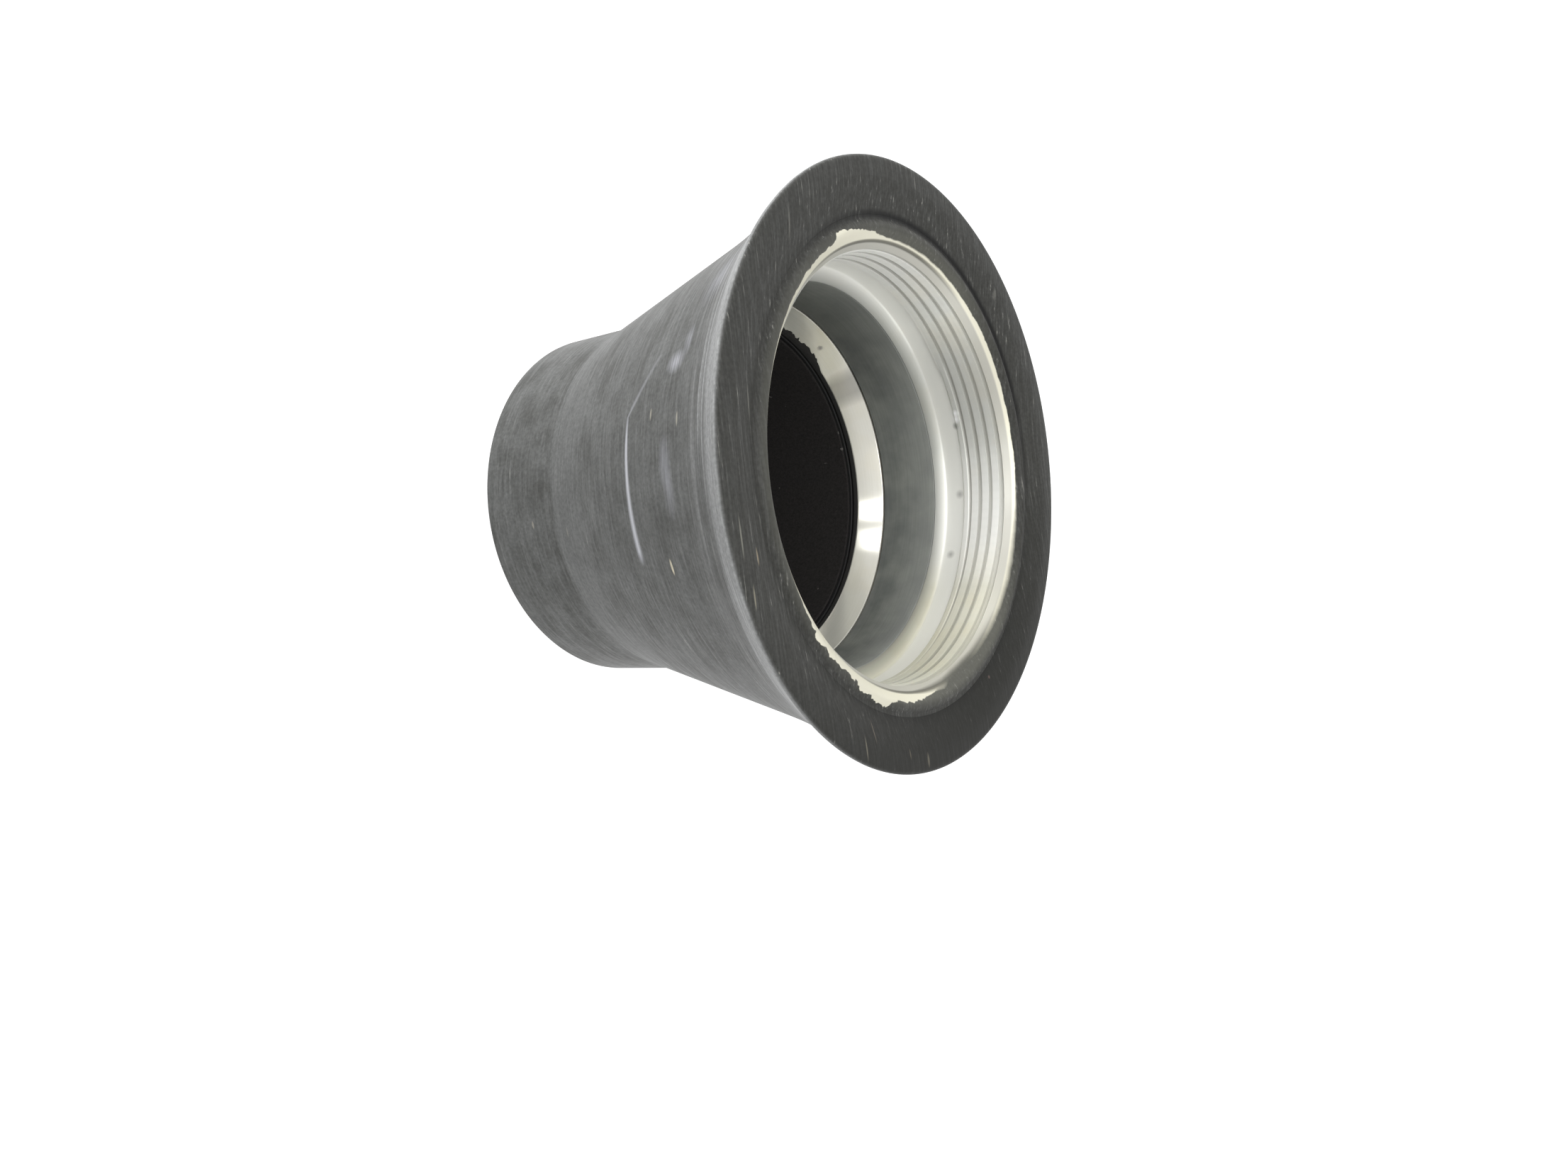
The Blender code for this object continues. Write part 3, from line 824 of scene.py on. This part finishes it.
chip_level = (chip_behind - chip_least) / (chip_most - chip_least)
chip_points[0].location = (0.0, chip_level)
chip_points[len(chip_points) - 1].location = (1.0, chip_level)
chip_curve.node.mapping.update()
chip_width = add_node(tree, "MapRange", {"Value": chip_curve, "To Min": chip_least, "To Max": chip_most})
# The broken edge is ragged in steps of about 2 mm, more so where the chips are broad.
jags = add_node(tree, "TexNoise", {
    "Vector": spot["Millimetres"], "Scale": 1 / 2.0, "Detail": 2.0, "Roughness": 0.55})
jag = add_node(tree, "MapRange", {
    "Value": jags, "From Min": 0.3, "From Max": 0.7, "To Min": -0.5, "To Max": 0.5})
jag_reach = add_node(tree, "MapRange", {"Value": chip_width, "From Max": 1.5, "To Min": 0.08, "To Max": 0.9})
edge = add_node(tree, "Math", {0: jag, 1: jag_reach, 2: chip_width}, operation="MULTIPLY_ADD")
from_edge = add_node(tree, "Math", {0: spot["Radius"], 1: lip_inner}, operation="SUBTRACT")
past_chip = add_node(tree, "Math", {0: from_edge, 1: edge}, operation="SUBTRACT")
# The enamel thins out softly where it runs over the edge.
edge_softness = add_node(tree, "MapRange", {
    "Value": chip_width, "From Min": -0.4, "From Max": 0.15, "To Min": 0.9, "To Max": 0.1})
past_edge = add_node(tree, "MapRange", {"Value": past_chip, "From Max": edge_softness})
above_flange = add_node(tree, "MapRange", {
    "Value": spot["Height"], "From Min": flange_bottom + 0.2, "From Max": flange_bottom + 0.4})
enamelled = limited(tree, past_edge, above_flange)
# A cream film of old grease lies on the side towards 20 degrees.
film_side = 20.0
layers = [(towards(tree, spot, film_side, 0.55, 1.0, 0.45), "#b3ad86")]
# The wall is painted bright in two patches as painted highlights, and darker between them as painted
# shade.
for patch_degrees, patch_edge, patch_amount, patch_colour in (
        (113.0, 0.92, 0.45, "#a3a49f"), (72.0, 0.92, 0.8, "#fafaf6"), (175.0, 0.85, 0.7, "#f8f8f4")):
    layers.append((towards(tree, spot, patch_degrees, patch_edge, 1.0, patch_amount), patch_colour))
# The relief is painted paler, as painted light.
below_thread = add_node(tree, "MapRange", {
    "Value": spot["Height"], "From Min": first_land_bottom, "From Max": first_land_bottom - 0.4,
    "To Max": 0.8})
above_foot = add_node(tree, "MapRange", {
    "Value": spot["Height"], "From Min": relief_bottom, "From Max": relief_bottom + 0.4})
layers.append((limited(tree, below_thread, above_foot), "#f2f2ec"))
# The roots of the thread are painted darker, as painted shade.
root_shade = add_node(tree, "MapRange", {
    "Value": spot["Radius"], "From Min": lamp_thread_crest - 0.02, "From Max": lamp_thread_crest + 0.15,
    "To Max": 0.6})
in_thread = add_node(tree, "Math", {0: spot["Height"], 1: first_land_bottom}, operation="GREATER_THAN")
layers.append((limited(tree, root_shade, in_thread), "#a3a29b"))
# The foot, which sits on the sleeve, is darker towards its lower edge.
foot_darker_down = add_node(tree, "MapRange", {
    "Value": spot["Height"], "From Min": collar_bottom, "From Max": relief_bottom, "To Min": 0.8,
    "To Max": 0.0})
layers.append((foot_darker_down, "#73746f"))
# A white glint is painted where the thread starts, as a painted highlight, with dirt behind it and in two
# specks of the relief.
for speck_degrees, speck_radius, speck_height, speck_size, speck_amount, dirt_and_glint_colour in (
        (101.0, 32.2, 52.0, 0.8, 0.7, "#4a4843"), (80.0, 32.4, 51.2, 0.9, 0.45, "#4a4843"),
        (61.0, 32.4, 50.1, 0.9, 0.45, "#4a4843"), (105.0, 32.1, 52.5, 0.8, 1.0, "#ffffff"),
        (103.2, 32.1, 52.35, 0.9, 1.0, "#ffffff")):
    speck_place = compass(speck_degrees, speck_radius, speck_height)
    dirt_and_glint = close_to(tree, spot["Millimetres"], speck_place, 0.1, speck_size, speck_amount)
    layers.append((dirt_and_glint, dirt_and_glint_colour))
# The chamfer above the thread is coloured a darker grey. The chipped metal outside it is brighter and
# creamier.
above_thread = add_node(tree, "MapRange", {
    "Value": spot["Height"], "From Min": lamp_thread_top, "From Max": lamp_thread_top + 0.4, "To Max": 0.6})
inside_lip, on_crown = [
    add_node(tree, "MapRange", {
        "Value": spot["Radius"], "From Min": lip_corner_radius - 0.1, "From Max": lip_corner_radius + 0.1,
        "To Min": inner_share, "To Max": outer_share})
    for inner_share, outer_share in ((1.0, 0.0), (0.0, 0.7))]
layers += [(limited(tree, above_thread, inside_lip), "#a8a69c"), (on_crown, "#e4e0cb")]
# The corner under the lip is painted dark as painted shade, on the two sides where lamps have chipped it,
# and reaches furthest where the grease is.
in_section = add_node(tree, "CombineXYZ", {"X": spot["Radius"], "Y": spot["Height"]})
corner_place = (lip_corner_radius, lip_corner, 0.0)
corner_shade_reach = towards(tree, spot, film_side, 0.87, 0.97, 1.0, 0.4)
corner_shade = close_to(tree, in_section, corner_place, 0.15, corner_shade_reach, 0.8)
sides = add_node(tree, "SeparateXYZ", {0: spot["Round"]}, None)
sideways = add_node(tree, "Math", {0: sides["X"]}, operation="ABSOLUTE")
shaded_side = add_node(tree, "MapRange", {"Value": sideways, "From Min": 0.75, "From Max": 0.95})
layers.append((limited(tree, corner_shade, shaded_side), "#45443c"))
bare_colour = layered(tree, bare["Colour"], layers)
# The enamel on the lip's crown is rubbed grey, except on the far side.
crown_rub = add_node(tree, "MapRange", {
    "Value": spot["Radius"], "From Min": lip_inner + 2.6, "From Max": lip_inner + 0.9, "To Max": 0.6})
rubbed_side = add_node(tree, "MapRange", {
    "Value": sides["Y"], "From Min": 0.6, "From Max": 0.95, "To Min": 1.0, "To Max": 0.0})
lip_colour = layered(tree, enamel["Colour"], [(limited(tree, crown_rub, rubbed_side), "#5e5e57")])
colour = add_node(tree, "Mix", {0: enamelled, 6: bare_colour, 7: lip_colour}, 2, data_type="RGBA")
rough = add_node(tree, "Mix", {0: enamelled, 2: bare["Roughness"], 3: enamel["Roughness"]})
# Oxide has dulled the bare metal, so that it shows more white haze than mirror.
metallic = add_node(tree, "MapRange", {"Value": enamelled, "To Min": 0.3, "To Max": 0.0})
relief = add_node(tree, "Math", {0: bare["Relief"], 1: enamelled}, operation="ADD")
bump = add_node(tree, "Bump", {"Height": relief, "Strength": 0.06, "Distance": 0.05 * MM})
round_axis = add_node(tree, "Tangent", direction_type="RADIAL", axis="Z")
fill(tree, shader, {
    "Base Color": colour, "Roughness": rough, "Metallic": metallic, "Normal": bump, "Tangent": round_axis,
    "Anisotropic": line_stretch, "Anisotropic Rotation": line_turn, "Specular IOR Level": 0.16})

cut_thread(collar, collar_metal, {
    "Radius": lamp_thread_root * MM, "Height of form": (lamp_thread_crest - lamp_thread_root) * MM,
    "Width at root": lamp_root_width * MM, "Width at crest": lamp_crest_width * MM,
    "Pitch": lamp_thread_pitch * MM, "Turns": lamp_thread_turns, "Start height": lamp_first_height * MM,
    "Start angle": math.radians(lamp_thread_first), "Run-out": lamp_run_out})
collar_first_height = collar_screw_bottom + 0.9
cut_thread(collar, collar_metal, {
    "Radius": collar_screw_root * MM, "Height of form": screw_depth * MM,
    "Width at root": screw_root_width * MM, "Width at crest": screw_crest_width * MM,
    "Pitch": screw_pitch * MM, "Turns": collar_screw_turns, "Start height": collar_first_height * MM,
    "Start angle": 2 * math.pi * (collar_first_height - screw_start) / screw_pitch,
    "Run-out": screw_run_out})
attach(collar, "collar")
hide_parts("lamp_collar")

# Floor, light and camera
# A white sheet under the snoot, in a white studio. Two tall panes side by side and a box above them stand on
# the camera's side, and a box stands at either side. The camera is the photograph's: it looks into the mouth
# from one side and is rolled, so that the snoot lies on its side in the picture.
scene = bpy.context.scene
scene.view_settings.view_transform = "Standard"


def seen_directly(tree):
    """One where the camera, a reflection or a clear piece sees a surface; nothing where it gives light."""
    ray = add_node(tree, "LightPath", out=None)
    seen = add_node(tree, "Math", {0: ray["Is Camera Ray"], 1: ray["Is Glossy Ray"]}, operation="MAXIMUM")
    return add_node(tree, "Math", {0: seen, 1: ray["Is Transmission Ray"]}, operation="MAXIMUM")


sheet_half = 2.5
sheet_height = -0.05 * MM
sheet = bpy.data.meshes.new("floor")
sheet.from_pydata([
    (-sheet_half, -sheet_half, sheet_height), (sheet_half, -sheet_half, sheet_height),
    (sheet_half, sheet_half, sheet_height), (-sheet_half, sheet_half, sheet_height)], [], [(0, 1, 2, 3)])
floor = bpy.data.objects.new("floor", sheet)
bpy.context.collection.objects.link(floor)
# White paper, lit almost to white: only a soft shadow is left of its shading.
paper = bpy.data.materials.new("white_paper")
paper.use_nodes = True
tree = paper.node_tree
tree.nodes.clear()
lit = add_node(tree, "BsdfDiffuse", {"Color": linear("#d8d8d8")})
shown_lit = add_node(tree, "BsdfDiffuse", {"Color": linear("#a0a0a0")})
shown_white = add_node(tree, "Emission", {"Strength": 0.93})
shown = add_node(tree, "AddShader", {0: shown_lit, 1: shown_white})
either = add_node(tree, "MixShader", {0: seen_directly(tree), 1: lit, 2: shown})
add_node(tree, "OutputMaterial", {"Surface": either}, None)
sheet.materials.append(paper)

world = bpy.data.worlds.new("white_studio")
scene.world = world
world.use_nodes = True
tree = world.node_tree
tree.nodes.clear()
strength = add_node(tree, "MapRange", {"Value": seen_directly(tree), "To Min": 0.48, "To Max": 1.0})
sky = add_node(tree, "Background", {"Color": linear("#ffffff"), "Strength": strength})
add_node(tree, "OutputWorld", {"Surface": sky}, None)

# Each lamp's degrees round the snoot and above the floor, distance, width and height in metres, and watts.
lamp_target = Vector((0.0, 0.0, 40.0)) * MM
for lamp_name, lamp_degrees, lamp_rise, lamp_reach, lamp_width, lamp_height, lamp_power in (
        ("pane_near", -115.0, 28.0, 0.6, 0.11, 0.55, 0.75),
        ("pane_far", -134.8, 28.0, 0.6, 0.12, 0.55, 0.75),
        ("top_box", -95.0, 60.0, 0.7, 0.4, 0.4, 1.9),
        ("upper_side_box", -172.0, 6.0, 0.8, 0.5, 0.3, 8.3),
        ("lower_side_box", -8.0, 12.0, 0.8, 0.5, 0.3, 3.4)):
    lamp_light = bpy.data.lights.new(lamp_name, "AREA")
    lamp_light.shape = "RECTANGLE"
    lamp_light.size = lamp_width
    lamp_light.size_y = lamp_height
    lamp_light.energy = lamp_power
    lamp = bpy.data.objects.new(lamp_name, lamp_light)
    bpy.context.collection.objects.link(lamp)
    lamp_level = lamp_reach * math.cos(math.radians(lamp_rise))
    lamp_lift = lamp_reach * math.sin(math.radians(lamp_rise))
    lamp.location = lamp_target + compass(lamp_degrees, lamp_level, lamp_lift)
    lamp.rotation_mode = "QUATERNION"
    lamp.rotation_quaternion = (lamp_target - lamp.location).to_track_quat("-Z", "Y")

camera_place = Vector((0.0, -150.8, 153.9)) * MM
camera_aim = Vector((16.8, 0.0, 35.0)) * MM
camera_roll = math.radians(86.8)
camera_lens = bpy.data.cameras.new("camera")
camera_lens.sensor_width = 36.0
camera_lens.lens = 27.18
camera_lens.clip_start = 0.01
camera = bpy.data.objects.new("camera", camera_lens)
bpy.context.collection.objects.link(camera)
camera.location = camera_place
camera.rotation_mode = "QUATERNION"
camera_turn = (camera_aim - camera_place).to_track_quat("-Z", "Y")
camera.rotation_quaternion = camera_turn @ Quaternion((0, 0, 1), camera_roll)
scene.camera = camera
